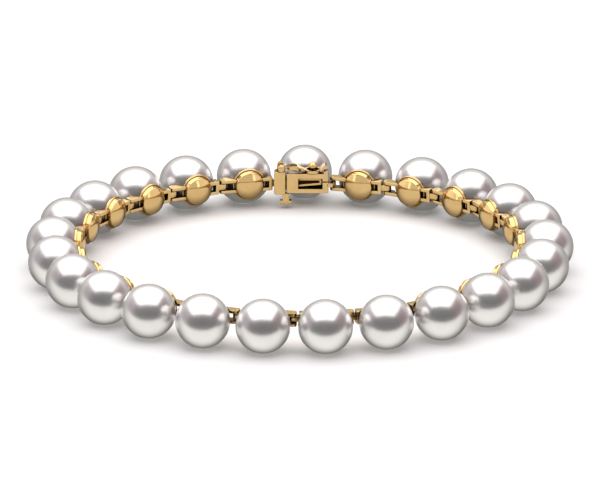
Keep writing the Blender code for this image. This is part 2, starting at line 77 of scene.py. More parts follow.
# Hinges between the settings
HINGE_INSET = 0.5 * MM
HINGE_SHIFT = 0.12 * MM
RIVET_RADIUS = 0.17 * MM
RIVET_GAP = 0.08 * MM
RIVET_HEAD = 0.05 * MM
RIVET_HEAD_RIM = 0.04 * MM
RIVET_HEAD_SHARES = ((1.0, 0.4), (0.75, 0.85), (0.0, 1.0))
RIVET_SIDES = 24
KNUCKLE_RADIUS = 0.4 * MM
KNUCKLE_STEPS = 8
ROOT_SHARE = 0.7
SCALLOP_GAP = 0.1 * MM
SCALLOP_STEPS = 10
FORK_HEIGHT = 1.84 * MM
FORK_SLOT = 0.98 * MM
FORK_DEPTH = 1.12 * MM
TONGUE_GAP = 0.11 * MM
TONGUE_REACH = 0.56 * MM
TONGUE_EASE = 0.04 * MM
TONGUE_STEPS = 14

# Pierced lug that carries the tongue
LUG_HEIGHT = 1.76 * MM
LUG_END_GAP = 0.29 * MM
LUG_BAR = 0.46 * MM
LUG_WINDOW_LENGTH = 1.0 * MM
LUG_WINDOW_HEIGHT = 0.92 * MM

# Clasp box
CLASP_PUSH = 1.0 * MM
BOX_PEARL_GAP = 0.1 * MM
BOX_DEPTH = 1.55 * MM
BOX_LEFT = -2.24 * MM
BOX_RIGHT = 3.12 * MM
BOX_WALL = 0.28 * MM
WINDOW_LEFT = -0.76 * MM
WINDOW_RIGHT = 2.38 * MM
WINDOW_SILL = 0.55 * MM
WINDOW_LINTEL = 0.64 * MM
SLIT_BOTTOM = 0.16 * MM
SLIT_HEIGHT = 0.13 * MM
STOP_WIDTH = 0.6 * MM
STOP_RISE = 0.35 * MM
CONNECTOR_HEIGHT = 0.5 * MM
CONNECTOR_REACH = 0.36 * MM

# Ball stud
BALL_PLACE = 1.12 * MM
BALL_RADIUS = 0.56 * MM
BALL_NECK_RADIUS = 0.26 * MM
BALL_RISE = 0.84 * MM
BALL_STEPS = 20
BALL_SIDES = 40

# Tongue: end cap, plug, folded spring and press tab
CAP_SEAM = 0.18 * MM
CAP_WIDTH = 1.48 * MM
CAP_HEIGHT = 3.06 * MM
CAP_OVERHANG = 0.23 * MM
CAP_CORNER = 0.35 * MM
CAP_CORNER_STEPS = 8
CAP_FRONT_WALL = 0.55 * MM
CAP_SLOT_GAP = 0.08 * MM
CAP_EDGE = 0.07 * MM
PLUG_REACH = 0.25 * MM
SPRING_GAP = 0.1 * MM
SPRING_THICKNESS = 0.26 * MM
SPRING_EDGE = 0.04 * MM
SPRING_RIGHT = 2.25 * MM
SPRING_HEADROOM = 0.44 * MM
SPRING_LOW_AT_CAP = -0.57 * MM
SPRING_LOW_AT_FOLD = -0.12 * MM
TAB_STEM_WIDTH = 0.84 * MM
TAB_STEM_OVERHANG = 0.47 * MM
TAB_FOOT_WIDTH = 1.52 * MM
TAB_FOOT_HEIGHT = 0.5 * MM
TAB_DEPTH = 0.95 * MM
TAB_DROP = 1.35 * MM
TAB_TOP_GAP = 0.1 * MM
TAB_SET_BACK = 0.1 * MM

# Safety latch
LATCH_AXIS_INSET = 0.53 * MM
LATCH_AXIS_RISE = 0.45 * MM
LATCH_BARREL_RADIUS = 0.44 * MM
LATCH_BARREL_EDGE = 0.03 * MM
LATCH_PIN_RADIUS = 0.17 * MM
LATCH_PIN_GAP = 0.07 * MM
LATCH_PIN_SIDES = 40
LATCH_HEAD_RADIUS = 0.43 * MM
LATCH_HEAD_THICKNESS = 0.12 * MM
LATCH_HEAD_EDGE = 0.04 * MM
LATCH_LUG_STEPS = 24
LATCH_LUG_RADIUS = 0.46 * MM
LATCH_LUG_SHIFT = 0.1 * MM
LATCH_LUG_RISE = 0.16 * MM
LATCH_LUG_DEPTH = 0.45 * MM
LATCH_SIDE_GAP = 0.08 * MM
LATCH_SET_BACK = 0.15 * MM
LATCH_THICKNESS = 0.36 * MM
LATCH_LIFT = 0.08 * MM
LATCH_RING_WIDTH = 0.32 * MM
LATCH_FIRST_RING_HALF_DEPTH = 1.0 * MM
LATCH_FIRST_RING_WIDTH = 0.5 * MM
LATCH_BALL_RING_HALF_DEPTH = 1.08 * MM
LATCH_BALL_RING_HALF_LENGTH = 1.13 * MM
LATCH_FIRST_RING_HALF_LENGTH = 0.95 * MM
LATCH_NECK_LENGTH = 0.39 * MM
LATCH_NECK_DEPTH = 0.9 * MM
LATCH_ARCH = 0.06 * MM
LATCH_ARM_SHARE = 0.7
LATCH_EDGE = 0.08 * MM
LATCH_SIDES = 48
LATCH_SQUARENESS = 0.8
LATCH_SLICES = 40
THUMB_LENGTH = 1.1 * MM
THUMB_DEPTH = 1.4 * MM
THUMB_ANGLE = math.radians(48.0)

# Places that follow from the sizes above
STEP_ANGLE = 2 * math.pi / PEARL_COUNT
RING_RADIUS = (2 * PEARL_RADIUS + PEARL_SPACING) / (2 * math.sin(STEP_ANGLE / 2))
RING_CENTRE_Y = -(CLASP_PUSH + RING_RADIUS * (1 - math.cos(STEP_ANGLE / 2))) / 2
HINGE_RING = (RING_RADIUS - PEARL_RADIUS + HINGE_INSET) / math.cos(STEP_ANGLE / 2)
TONGUE_ANGLE = STEP_ANGLE / 2 + HINGE_SHIFT / HINGE_RING
FORK_ANGLE = STEP_ANGLE - TONGUE_ANGLE
TONGUE_HINGE = (HINGE_RING * math.sin(TONGUE_ANGLE),
                HINGE_RING * math.cos(TONGUE_ANGLE) - RING_RADIUS)
FORK_HINGE = (-HINGE_RING * math.sin(FORK_ANGLE),
              HINGE_RING * math.cos(FORK_ANGLE) - RING_RADIUS)
HINGE_LEVEL = (HINGE_INSET - PEARL_RADIUS) * math.tan(SETTING_TILT)
LINK_FACE = TONGUE_HINGE[1] / math.cos(SETTING_TILT) - KNUCKLE_RADIUS
SCALLOP_RADIUS = PEARL_RADIUS + SCALLOP_GAP
TONGUE_RADIUS = KNUCKLE_RADIUS - TONGUE_EASE
TONGUE_HEIGHT = FORK_SLOT - 2 * TONGUE_GAP
LUG_END = TONGUE_HINGE[0] - KNUCKLE_RADIUS - LUG_END_GAP
BOX_BACK = CLASP_PUSH - PEARL_RADIUS - BOX_PEARL_GAP
BOX_FACE = BOX_BACK - BOX_DEPTH
CAP_TOP = CAP_HEIGHT / 2
BOX_TOP = CAP_TOP - CAP_OVERHANG
SPRING_TOP = BOX_TOP - BOX_WALL - SPRING_HEADROOM
CAP_RIGHT = BOX_LEFT - CAP_SEAM
CAP_LEFT = CAP_RIGHT - CAP_WIDTH
LATCH_AXIS_X = CAP_RIGHT - LATCH_AXIS_INSET
LATCH_AXIS_Z = CAP_TOP + LATCH_AXIS_RISE
LATCH_MIDDLE = (BOX_FACE + BOX_BACK) / 2 + LATCH_SET_BACK
BALL_LEVEL = BOX_TOP + BALL_RISE

# How far cutters reach past a solid, and how far joined shapes reach into each other
BEYOND = 1.0 * MM
OVERLAP = 0.15 * MM

# Softened edges, and the angle from which an edge is shaded as sharp
EDGE = 0.05 * MM
EDGE_STEPS = 2
FINE_EDGE_STEPS = 3
EDGE_ANGLE = math.radians(35)
SHARP_ANGLE = math.radians(50)

# Nacre and gold: noise as scale and detail, painted crevice shade as reach and colour
NACRE_VALUES = {"Metallic": 0.75, "Roughness": 0.28, "Coat Weight": 0.3, "Coat Roughness": 0.15}
NACRE_NOISE = (260.0, 3.0)
NACRE_COLOURS = ((0.8, 0.785, 0.77), (0.86, 0.845, 0.83))
# painted shade on the nacre where gold or other pearls are close: reach and dark colour
NACRE_CREVICE_SHADE = (1.2 * MM, (0.12, 0.1, 0.09))
GOLD_VALUES = {"Metallic": 1.0}
GOLD_NOISE = (700.0, 4.0)
GOLD_COLOURS = ((0.75, 0.51, 0.215), (0.79, 0.56, 0.245))
GOLD_WEAR_NOISE = (1500.0, 5.0)
GOLD_WEAR = ((0.06, 0.06, 0.06), (0.13, 0.13, 0.13))
# painted shade in the gold's crevices and recesses: reach and dark colour
GOLD_CREVICE_SHADE = (1.6 * MM, (0.1, 0.05, 0.012))
NOISE_STEP = (0.35, 0.65)
CREVICE_SHADE_STEP = (0.25, 0.95)
CREVICE_SHADE_SAMPLES = 8

# Colours of the room, seen in the reflections, and the steps where they change
BACK_LIGHT = (0.72, 0.7, 0.66)
LEFT_DARK = (0.36, 0.3, 0.33)
RIGHT_DARK = (0.2, 0.1, 0.12)
FRONT_DARK = (0.055, 0.055, 0.055)
GROUND_LIGHT = (1.12, 1.11, 1.07)
GROUND_FAR = (0.34, 0.33, 0.32)
GROUND_DARK = (0.05, 0.04, 0.035)
GROUND_TILT = 0.4
BACK_STEP = (0.1, 0.7)
SIDE_STEP = (-0.3, 0.3)
FRONT_STEP = (-0.65, -0.2)
GROUND_STEP = (-0.3, 0.75)
GROUND_DARK_STEP = (-0.6, -0.3)
HORIZON_STEP = (-0.05, 0.05)

# Soft boxes: size, place and brightness; pearls past the far share have their own
SOFT_BOX = ((1.04, 0.96), (-0.05, -0.04, 0.5), 1.8)
FAR_BOX = ((1.04, 0.81), (-0.05, 0.035, 0.5), 1.8)
FAR_SHARE = 0.2
TABLE_BOX = ((1.3, 1.3), (0, 0, 0.5), 0.7)

# White cards: size, place, turn in degrees and brightness
FRONT_CARD = ((1.43, 0.85), (0, -0.6, 0.05), 0, 0.72)
SIDE_CARDS = (((1.0, 0.7), (0.75, -0.25, 0.33), 71, 0.9),
              ((1.0, 0.7), (-0.75, -0.25, 0.33), -71, 0.9))

# White table, and the disc that stands for it in the reflections, painted grey with a painted
# shadow near the pearls
TABLE_REACH = 2.0
TABLE_WHITE = (0.8, 0.8, 0.8, 1)
MATT = {"Roughness": 1.0, "Specular IOR Level": 0.0}
SHADE_RADIUS = 0.0325
SHADE_PLACE = 0.0065
SHADE_LEVEL = 0.1 * MM
SHADE_SIDES = 64
SHADE_PAINTED_SHADOW_FADE = (0.0235, 0.0295)
# painted grey for the disc inside, and a painted shadow near the pearls
SHADE_INSIDE = (0.65, 0.65, 0.65)
SHADE_PAINTED_SHADOW = (0.2, 0.2, 0.2)


def add_object(name, data):
    """A new object in the scene."""
    item = bpy.data.objects.new(name, data)
    bpy.context.scene.collection.objects.link(item)
    return item


def object_from_faces(name, points, faces):
    """A closed mesh object whose faces all point out."""
    mesh = bpy.data.meshes.new(name)
    mesh.from_pydata(points, [], faces)
    shape = bmesh.new()
    shape.from_mesh(mesh)
    bmesh.ops.recalc_face_normals(shape, faces=shape.faces)
    shape.to_mesh(mesh)
    shape.free()
    return add_object(name, mesh)


def lathe(name, profile, sides, axis="Y", centre=(0.0, 0.0, 0.0), closed=False):
    """Turn (radius, place along the axis) pairs; a closed profile makes a ring."""
    points = []
    rings = []
    for radius, along in profile:
        ring = []
        for step in range(sides if radius > 0 else 1):
            angle = 2 * math.pi * step / sides
            across = radius * math.sin(angle)
            up = radius * math.cos(angle)
            place = (across, along, up) if axis == "Y" else (across, up, along)
            ring.append(len(points))
            points.append([place[i] + centre[i] for i in range(3)])
        rings.append(ring)
    faces = []
    for low, high in zip(rings, rings[1:] + (rings[:1] if closed else [])):
        for step in range(sides):
            corners = [low[step % len(low)], low[(step + 1) % len(low)],
                       high[(step + 1) % len(high)], high[step % len(high)]]
            faces.append(list(dict.fromkeys(corners)))
    return object_from_faces(name, points, faces)


def prism(name, outline, start, end, axis="Z"):
    """Extrude an outline: (x, y) pairs along Z, or (x, z) pairs along Y."""
    count = len(outline)
    points = []
    for along in (start, end):
        for first, second in outline:
            points.append((first, along, second) if axis == "Y" else (first, second, along))
    faces = [list(range(count)), list(range(2 * count - 1, count - 1, -1))]
    for step in range(count):
        after = (step + 1) % count
        faces.append([step, after, after + count, step + count])
    return object_from_faces(name, points, faces)


def block(name, x_range, y_range, z_range):
    """A plain box between the given ends."""
    outline = [(x_range[0], y_range[0]), (x_range[1], y_range[0]),
               (x_range[1], y_range[1]), (x_range[0], y_range[1])]
    return prism(name, outline, z_range[0], z_range[1])


def arc(centre, radius, start, end, steps):
    """Points on an arc, angles in degrees from +X."""
    points = []
    for step in range(steps + 1):
        angle = math.radians(start + (end - start) * step / steps)
        points.append((centre[0] + radius * math.cos(angle),
                       centre[1] + radius * math.sin(angle)))
    return points


def squared(value, power):
    """A sine or cosine pushed out, so that an oval gets fuller corners."""
    return math.copysign(abs(value) ** power, value)


def oval(centre, half_length, half_width, sides, power=1.0):
    """Points round an oval, with fuller corners for a power below 1."""
    points = []
    for step in range(sides):
        along = squared(math.cos(2 * math.pi * step / sides), power)
        across = squared(math.sin(2 * math.pi * step / sides), power)
        points.append((centre[0] + half_length * along, centre[1] + half_width * across))
    return points


def bake(item):
    """Apply the object's modifiers."""
    graph = bpy.context.evaluated_depsgraph_get()
    mesh = bpy.data.meshes.new_from_object(item.evaluated_get(graph))
    item.modifiers.clear()
    item.data = mesh
    return item


def combine(item, others, operation):
    """Join other solids to one, or cut them from it, and drop them."""
    for other in others:
        step = item.modifiers.new(operation, "BOOLEAN")
        step.operation = operation
        step.solver = "EXACT"
        step.object = other
    bake(item)
    for other in others:
        bpy.data.objects.remove(other, do_unlink=True)
    return item


def soften(item, width=EDGE, steps=EDGE_STEPS):
    """Round the sharp edges."""
    step = item.modifiers.new("edges", "BEVEL")
    step.width = width
    step.segments = steps
    step.limit_method = "ANGLE"
    step.angle_limit = EDGE_ANGLE
    step.miter_outer = "MITER_ARC"
    return bake(item)


def gather(name, items):
    """One object from several, with steady shading on the flat faces."""
    shape = bmesh.new()
    for item in items:
        shape.from_mesh(item.data)
        bpy.data.objects.remove(item, do_unlink=True)
    mesh = bpy.data.meshes.new(name)
    shape.to_mesh(mesh)
    shape.free()
    whole = add_object(name, mesh)
    mesh.shade_smooth()
    mesh.set_sharp_from_angle(angle=SHARP_ANGLE)
    step = whole.modifiers.new("normals", "WEIGHTED_NORMAL")
    step.keep_sharp = True
    return bake(whole)


def ball_profile(radius, centre, start, end, steps):
    """(radius, place) pairs along a sphere, angles in degrees from its low pole."""
    pairs = []
    for step in range(steps + 1):
        turn = math.radians(start + (end - start) * step / steps)
        pairs.append((radius * math.sin(turn), centre - radius * math.cos(turn)))
    return pairs


def make_pearl():
    """A smooth sphere with its drill hole on the wrist side."""
    rim = math.degrees(math.asin(DRILL_RADIUS / PEARL_RADIUS))
    bottom = -PEARL_RADIUS + DRILL_DEPTH
    profile = [(0, bottom), (DRILL_RADIUS, bottom)]
    profile += ball_profile(PEARL_RADIUS, 0.0, rim, 180.0, PEARL_SIDES // 2)[:-1]
    profile.append((0, PEARL_RADIUS))
    return gather("pearl", [lathe("pearl", profile, PEARL_SIDES)])


def make_cup():
    """A gently domed cup with a round shoulder, a groove and a lip, and the peg behind it."""
    inner = DOME_RADIUS - DOME_SHOULDER
    edge = math.degrees(math.asin(inner / DOME_CURVE))
    profile = ball_profile(DOME_CURVE, DOME_POLE + DOME_CURVE, 0, edge, DOME_STEPS)
    profile[0] = (0, DOME_POLE)
    turn = math.radians(edge)
    middle = (inner - DOME_SHOULDER * math.sin(turn),
              profile[-1][1] + DOME_SHOULDER * math.cos(turn))
    profile += arc(middle, DOME_SHOULDER, edge - 90, 0, SHOULDER_STEPS)[1:]
    profile.append((DOME_RADIUS - GROOVE_INSET, GROOVE_DEPTH))
    profile += arc((LIP_RADIUS - LIP_WIRE, LIP_LEVEL), LIP_WIRE, *LIP_ANGLES, LIP_STEPS)
    turn = math.asin(LIP_RADIUS / SEAT_RADIUS) * LIP_SEAT_SHARE
    profile.append((SEAT_RADIUS * math.sin(turn), -SEAT_RADIUS * math.cos(turn)))
    turn = math.asin(PEG_RADIUS / SEAT_RADIUS)
    profile.append((SEAT_RADIUS * math.sin(turn), -SEAT_RADIUS * math.cos(turn)))
    profile += [(PEG_RADIUS, PEG_END), (0, PEG_END)]
    return lathe("cup", profile, CUP_SIDES)


def scallop(start_x, end_x):
    """Plan points where a plate passes round the pearl, from one x to another."""
    start = math.degrees(math.asin(start_x / SCALLOP_RADIUS))
    end = math.degrees(math.asin(end_x / SCALLOP_RADIUS))
    return arc((0, 0), SCALLOP_RADIUS, start - 90, end - 90, SCALLOP_STEPS)


def rivet_head(x, y, level, way):
    """A low round head on a plate, facing up or down."""
    radius = RIVET_RADIUS + RIVET_HEAD_RIM
    profile = [(0, level - way * OVERLAP), (radius, level - way * OVERLAP)]
    for across, up in RIVET_HEAD_SHARES:
        profile.append((radius * across, level + way * RIVET_HEAD * up))
    return lathe("rivet_head", profile, RIVET_SIDES, "Z", (x, y, 0))


def make_fork():
    """Two plates on the -X side of the cup, with the rivet through them."""
    root = -DOME_RADIUS * ROOT_SHARE
    back = LINK_FACE + FORK_DEPTH
    meet = -math.sqrt(SCALLOP_RADIUS ** 2 - back ** 2)
    hinge_x, hinge_y = FORK_HINGE[0], FORK_HINGE[1] / math.cos(SETTING_TILT)
    outline = [(root, LINK_FACE)]
    outline += arc((hinge_x, LINK_FACE + KNUCKLE_RADIUS), KNUCKLE_RADIUS, -90, -180,
                   KNUCKLE_STEPS)
    outline += arc((hinge_x, back - KNUCKLE_RADIUS), KNUCKLE_RADIUS, 180, 90, KNUCKLE_STEPS)
    outline += scallop(meet, root)
    items = []
    for way in (-1, 1):
        ends = sorted((way * FORK_SLOT / 2, way * FORK_HEIGHT / 2))
        items.append(soften(prism("plate", outline, ends[0], ends[1])))
        items.append(rivet_head(hinge_x, hinge_y, way * FORK_HEIGHT / 2, way))
    rivet = [(0, -FORK_SLOT / 2 - OVERLAP), (RIVET_RADIUS, -FORK_SLOT / 2 - OVERLAP),
             (RIVET_RADIUS, FORK_SLOT / 2 + OVERLAP), (0, FORK_SLOT / 2 + OVERLAP)]
    items.append(lathe("rivet", rivet, RIVET_SIDES, "Z", (hinge_x, hinge_y, 0)))
    return items


def make_tongue_bar(start, height, level, hinge_y, reach):
    """A bar from its front corners to a round end past the +X hinge, drilled for the rivet."""
    hinge_x = TONGUE_HINGE[0]
    outline = list(start)
    outline += arc((hinge_x + reach - TONGUE_RADIUS, hinge_y), TONGUE_RADIUS, -90, 90,
                   TONGUE_STEPS)
    outline.append((start[0][0], hinge_y + TONGUE_RADIUS))
    bar = prism("tongue_bar", outline, level - height / 2, level + height / 2)
    bore = RIVET_RADIUS + RIVET_GAP
    hole = prism("hole", oval((hinge_x, hinge_y), bore, bore, RIVET_SIDES),
                 level - height, level + height)
    return soften(combine(bar, [hole], "DIFFERENCE"))


def make_lug():
    """The pierced lug on the +X side, with the tongue for the next fork."""
    root = DOME_RADIUS * ROOT_SHARE
    back = LINK_FACE + FORK_DEPTH
    meet = math.sqrt(SCALLOP_RADIUS ** 2 - back ** 2)
    outline = [(root, LINK_FACE), (LUG_END, LINK_FACE), (LUG_END, back)]
    outline += scallop(meet, root)
    lug = prism("lug", outline, -LUG_HEIGHT / 2, LUG_HEIGHT / 2)
    window_end = LUG_END - LUG_BAR
    window = block("window", (window_end - LUG_WINDOW_LENGTH, window_end),
                   (LINK_FACE - BEYOND, 0), (-LUG_WINDOW_HEIGHT / 2, LUG_WINDOW_HEIGHT / 2))
    hinge_y = TONGUE_HINGE[1] / math.cos(SETTING_TILT)
    corner = (LUG_END - OVERLAP, hinge_y - TONGUE_RADIUS)
    return [soften(combine(lug, [window], "DIFFERENCE")),
            make_tongue_bar([corner], TONGUE_HEIGHT, 0.0, hinge_y, TONGUE_REACH)]


def make_link():
    """Cup, peg, fork and lug of one setting."""
    return gather("link", [make_cup(), *make_fork(), *make_lug()])


def make_ball_stud():
    """A ball on a short neck, for the latch to close over."""
    neck = math.degrees(math.asin(BALL_NECK_RADIUS / BALL_RADIUS))
    profile = [(0, BOX_TOP - OVERLAP), (BALL_NECK_RADIUS, BOX_TOP - OVERLAP)]
    profile += ball_profile(BALL_RADIUS, BALL_LEVEL, neck, 180, BALL_STEPS)[:-1]
    profile.append((0, BALL_LEVEL + BALL_RADIUS))
    return lathe("ball_stud", profile, BALL_SIDES, "Z", (BALL_PLACE, LATCH_MIDDLE, 0))


def make_clasp_box():
    """The open-ended box with its window, stop, stud, connector and peg."""
    box = block("box", (BOX_LEFT, BOX_RIGHT), (BOX_FACE, BOX_BACK), (-BOX_TOP, BOX_TOP))
    cavity = block("cavity", (BOX_LEFT - BEYOND, BOX_RIGHT - BOX_WALL),
                   (BOX_FACE + BOX_WALL, BOX_BACK - BOX_WALL),
                   (-BOX_TOP + BOX_WALL, BOX_TOP - BOX_WALL))
    window = block("window", (WINDOW_LEFT, WINDOW_RIGHT),
                   (BOX_FACE - BEYOND, BOX_FACE + BOX_WALL + OVERLAP),
                   (WINDOW_SILL - BOX_TOP, BOX_TOP - WINDOW_LINTEL))
    slit = block("slit", (WINDOW_RIGHT - OVERLAP, BOX_RIGHT + BEYOND),
                 (BOX_FACE - BEYOND, BOX_FACE + BOX_WALL),
                 (SLIT_BOTTOM, SLIT_BOTTOM + SLIT_HEIGHT))
    stop = block("stop", (BOX_RIGHT - STOP_WIDTH, BOX_RIGHT), (BOX_FACE, BOX_BACK - BOX_WALL),
                 (BOX_TOP - OVERLAP, BOX_TOP + STOP_RISE))
    combine(box, [stop], "UNION")
    soften(combine(box, [cavity, window, slit], "DIFFERENCE"))
    corners = [(BOX_RIGHT - OVERLAP, BOX_FACE), (TONGUE_HINGE[0], BOX_FACE)]
    connector = make_tongue_bar(corners, CONNECTOR_HEIGHT, HINGE_LEVEL,
                                TONGUE_HINGE[1], CONNECTOR_REACH)
    peg = [(0, BOX_BACK - OVERLAP), (PEG_RADIUS, BOX_BACK - OVERLAP),
           (PEG_RADIUS, CLASP_PUSH + PEG_END), (0, CLASP_PUSH + PEG_END)]
    return gather("clasp_box", [box, connector, make_ball_stud(),
                                lathe("peg", peg, RIVET_SIDES)])


def make_end_cap():
    """The cap beside the box, hollowed at its left end for the next setting's tongue."""
    corner_x = CAP_LEFT + CAP_CORNER
    corner_z = CAP_TOP - CAP_CORNER
    outline = [(CAP_RIGHT, -CAP_TOP), (CAP_RIGHT, CAP_TOP)]
    outline += arc((corner_x, corner_z), CAP_CORNER, 90, 180, CAP_CORNER_STEPS)
    outline += arc((corner_x, -corner_z), CAP_CORNER, 180, 270, CAP_CORNER_STEPS)
    cap = prism("end_cap", outline, BOX_FACE, BOX_BACK, "Y")
    slot_half = FORK_SLOT / 2
    slot_end = FORK_HINGE[0] + TONGUE_REACH + CAP_SLOT_GAP
    slot = block("slot", (CAP_LEFT - BEYOND, slot_end),
                 (BOX_FACE + CAP_FRONT_WALL, BOX_BACK + BEYOND),
                 (HINGE_LEVEL - slot_half, HINGE_LEVEL + slot_half))
    soften(combine(cap, [slot], "DIFFERENCE"), CAP_EDGE, FINE_EDGE_STEPS)
    rivet = [(0, HINGE_LEVEL - FORK_SLOT), (RIVET_RADIUS, HINGE_LEVEL - FORK_SLOT),
             (RIVET_RADIUS, HINGE_LEVEL + FORK_SLOT), (0, HINGE_LEVEL + FORK_SLOT)]
    return [cap, lathe("rivet", rivet, RIVET_SIDES, "Z", (*FORK_HINGE, 0))]


def make_plug():
    """The tongue's base, which closes the box's mouth behind the seam."""
    half = BOX_TOP - BOX_WALL - SPRING_GAP
    return soften(block("plug", (CAP_RIGHT - OVERLAP, BOX_LEFT + PLUG_REACH),
                        (BOX_FACE + BOX_WALL + SPRING_GAP, BOX_BACK - BOX_WALL - SPRING_GAP),
                        (-half, half)))


def make_spring():
    """The folded spring: a level upper leaf, a rising lower leaf and the round fold."""
    y_range = (BOX_FACE + BOX_WALL + SPRING_GAP, BOX_BACK - BOX_WALL - SPRING_GAP)
    left = CAP_RIGHT - OVERLAP
    low_start = SPRING_LOW_AT_CAP + SPRING_THICKNESS / 2
    low_end = SPRING_LOW_AT_FOLD + SPRING_THICKNESS / 2
    fold = SPRING_RIGHT - SPRING_THICKNESS
    outline = [(left, low_start - SPRING_THICKNESS),
               (SPRING_RIGHT, low_end - SPRING_THICKNESS),
               (SPRING_RIGHT, SPRING_TOP),
               (left, SPRING_TOP),
               (left, SPRING_TOP - SPRING_THICKNESS),
               (fold, SPRING_TOP - SPRING_THICKNESS),
               (fold, low_end),
               (left, low_start)]
    return soften(prism("spring", outline, y_range[0], y_range[1], "Y"), SPRING_EDGE)


def make_press_tab():
    """The T-shaped tab that hangs below the seam."""
    stem_right = BOX_LEFT + TAB_STEM_OVERHANG - CAP_SEAM
    stem_left = stem_right - TAB_STEM_WIDTH
    middle = (stem_left + stem_right) / 2
    top = -BOX_TOP - TAB_TOP_GAP
    foot_top = -CAP_TOP - TAB_DROP + TAB_FOOT_HEIGHT
    half = TAB_FOOT_WIDTH / 2
    outline = [(stem_left, top), (stem_left, foot_top),
               (middle - half, foot_top), (middle - half, -CAP_TOP - TAB_DROP),
               (middle + half, -CAP_TOP - TAB_DROP), (middle + half, foot_top),
               (stem_right, foot_top), (stem_right, top)]
    front = BOX_FACE + TAB_SET_BACK
    return soften(prism("press_tab", outline, front, front + TAB_DEPTH, "Y"))


def make_latch_pin():
    """The lug behind the latch's barrel, with the pin and its flat round head."""
    axis = (LATCH_AXIS_X, LATCH_AXIS_Z)
    lug_x = axis[0] - LATCH_LUG_SHIFT
    outline = [(lug_x - LATCH_LUG_RADIUS, CAP_TOP - OVERLAP),
               (lug_x + LATCH_LUG_RADIUS, CAP_TOP - OVERLAP)]
    outline += arc((lug_x, axis[1] + LATCH_LUG_RISE), LATCH_LUG_RADIUS, 0, 180,
                   LATCH_LUG_STEPS)
    lug = soften(prism("latch_lug", outline, BOX_BACK - LATCH_LUG_DEPTH, BOX_BACK, "Y"))
    head_back = BOX_FACE - LATCH_SIDE_GAP
    head_front = head_back - LATCH_HEAD_THICKNESS
    profile = [(0, head_front), (LATCH_HEAD_RADIUS - LATCH_HEAD_EDGE, head_front),
               (LATCH_HEAD_RADIUS, head_front + LATCH_HEAD_EDGE),
               (LATCH_HEAD_RADIUS, head_back), (LATCH_PIN_RADIUS, head_back),
               (LATCH_PIN_RADIUS, BOX_BACK - OVERLAP), (0, BOX_BACK - OVERLAP)]
    return [lug, lathe("latch_pin", profile, LATCH_PIN_SIDES, "Y", (axis[0], 0, axis[1]))]


def make_clasp_tongue():
    """End cap, plug, spring, press tab and latch hinge."""
    items = [*make_end_cap(), make_plug(), make_spring(), make_press_tab(), *make_latch_pin()]
    return gather("clasp_tongue", items)


def latch_level(x):
    """Height of the latch plate's middle: an arch over the first ring, then down to the box."""
    ball_left = BALL_PLACE - LATCH_BALL_RING_HALF_LENGTH
    low = BOX_TOP + LATCH_LIFT + LATCH_THICKNESS / 2
    first = ball_left - LATCH_NECK_LENGTH - LATCH_FIRST_RING_HALF_LENGTH
    curve = ((LATCH_AXIS_X, LATCH_AXIS_Z), (first, LATCH_AXIS_Z + LATCH_ARCH),
             (ball_left + LATCH_RING_WIDTH, low))
    for start, end in zip(curve, curve[1:]):
        if x < end[0]:
            share = max(0.0, (x - start[0]) / (end[0] - start[0]))
            return start[1] + (end[1] - start[1]) * share * share * (3 - 2 * share)
    return low


def make_latch_plate():
    """Both rings, the arm and the neck in one bent plate."""
    half = LATCH_THICKNESS / 2
    ball_left = BALL_PLACE - LATCH_BALL_RING_HALF_LENGTH
    first_right = ball_left - LATCH_NECK_LENGTH
    first_x = first_right - LATCH_FIRST_RING_HALF_LENGTH
    sizes = ((first_x, LATCH_FIRST_RING_HALF_LENGTH, LATCH_FIRST_RING_HALF_DEPTH,
              LATCH_FIRST_RING_WIDTH, LATCH_SQUARENESS),
             (BALL_PLACE, LATCH_BALL_RING_HALF_LENGTH, LATCH_BALL_RING_HALF_DEPTH,
              LATCH_RING_WIDTH, 1.0))
    rings = []
    holes = []
    for centre, length, depth, width, power in sizes:
        place = (centre, LATCH_MIDDLE)
        rings.append(prism("ring", oval(place, length, depth, LATCH_SIDES, power), -half, half))
        holes.append(prism("hole", oval(place, length - width, depth - width, LATCH_SIDES, power),
                           -2 * half, 2 * half))
    barrel_back = BOX_BACK - LATCH_LUG_DEPTH - LATCH_SIDE_GAP
    arm = block("arm", (LATCH_AXIS_X + LATCH_BARREL_RADIUS * LATCH_ARM_SHARE,
                        first_x - LATCH_FIRST_RING_HALF_LENGTH + LATCH_RING_WIDTH),
                (BOX_FACE + 2 * OVERLAP, barrel_back), (-half, half))
    neck = block("neck", (first_right - LATCH_RING_WIDTH / 2, ball_left + LATCH_RING_WIDTH / 2),
                 (LATCH_MIDDLE - LATCH_NECK_DEPTH / 2, LATCH_MIDDLE + LATCH_NECK_DEPTH / 2),
                 (-half, half))
    plate = combine(rings[0], [rings[1], arm, neck], "UNION")
    soften(combine(plate, holes, "DIFFERENCE"), LATCH_EDGE, FINE_EDGE_STEPS)
    shape = bmesh.new()
    shape.from_mesh(plate.data)
    start = LATCH_AXIS_X
    end = BALL_PLACE + LATCH_BALL_RING_HALF_LENGTH
    for step in range(1, LATCH_SLICES):
        everything = shape.verts[:] + shape.edges[:] + shape.faces[:]
        place = start + (end - start) * step / LATCH_SLICES
        bmesh.ops.bisect_plane(shape, geom=everything, dist=1e-7, plane_co=(place, 0, 0),
                               plane_no=(1, 0, 0))
    for point in shape.verts:
        point.co.z += latch_level(point.co.x)
    shape.to_mesh(plate.data)
    shape.free()
    return plate


